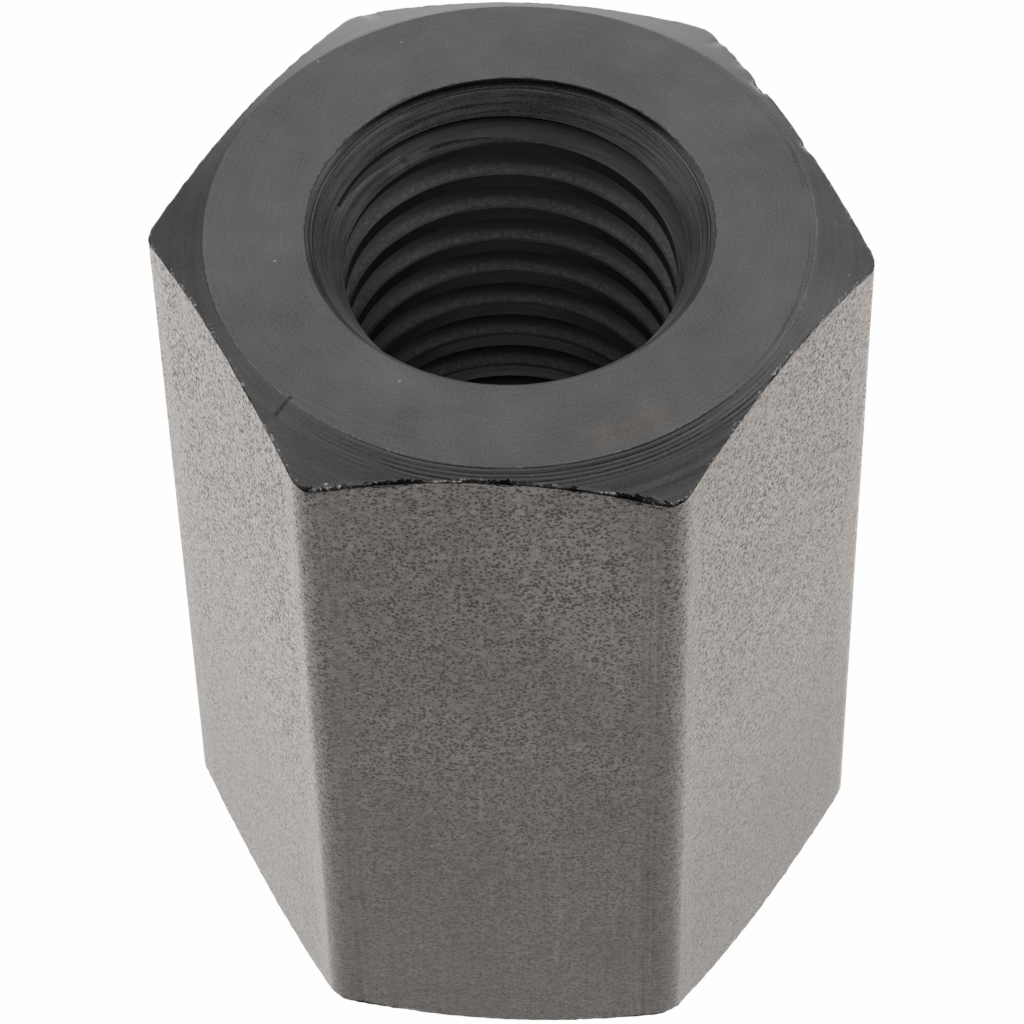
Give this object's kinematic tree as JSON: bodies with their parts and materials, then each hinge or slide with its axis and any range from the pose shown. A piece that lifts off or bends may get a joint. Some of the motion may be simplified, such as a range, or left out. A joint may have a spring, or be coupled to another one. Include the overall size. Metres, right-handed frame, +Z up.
{
  "type": "coupling nut",
  "caption": "Long hexagonal steel coupling nut with chamfered ends, countersunk mouths and a right-hand thread right through, for joining threaded rods end to end.",
  "frame": {"origin": "middle of the lower end face, on the axis of the thread", "axes": "+Z up along the thread's axis; two flats face -Y and +Y, and two of the long edges point to -X and +X"},
  "size_m": [0.0362, 0.0318, 0.048],
  "materials": {
    "nut_steel": "drawn and turned plain steel with a thin dark grey oxide, satin, lightly pitted"
  },
  "bodies": {
    "root": {"nut_body": "nut_steel"}
  },
  "joints": []
}
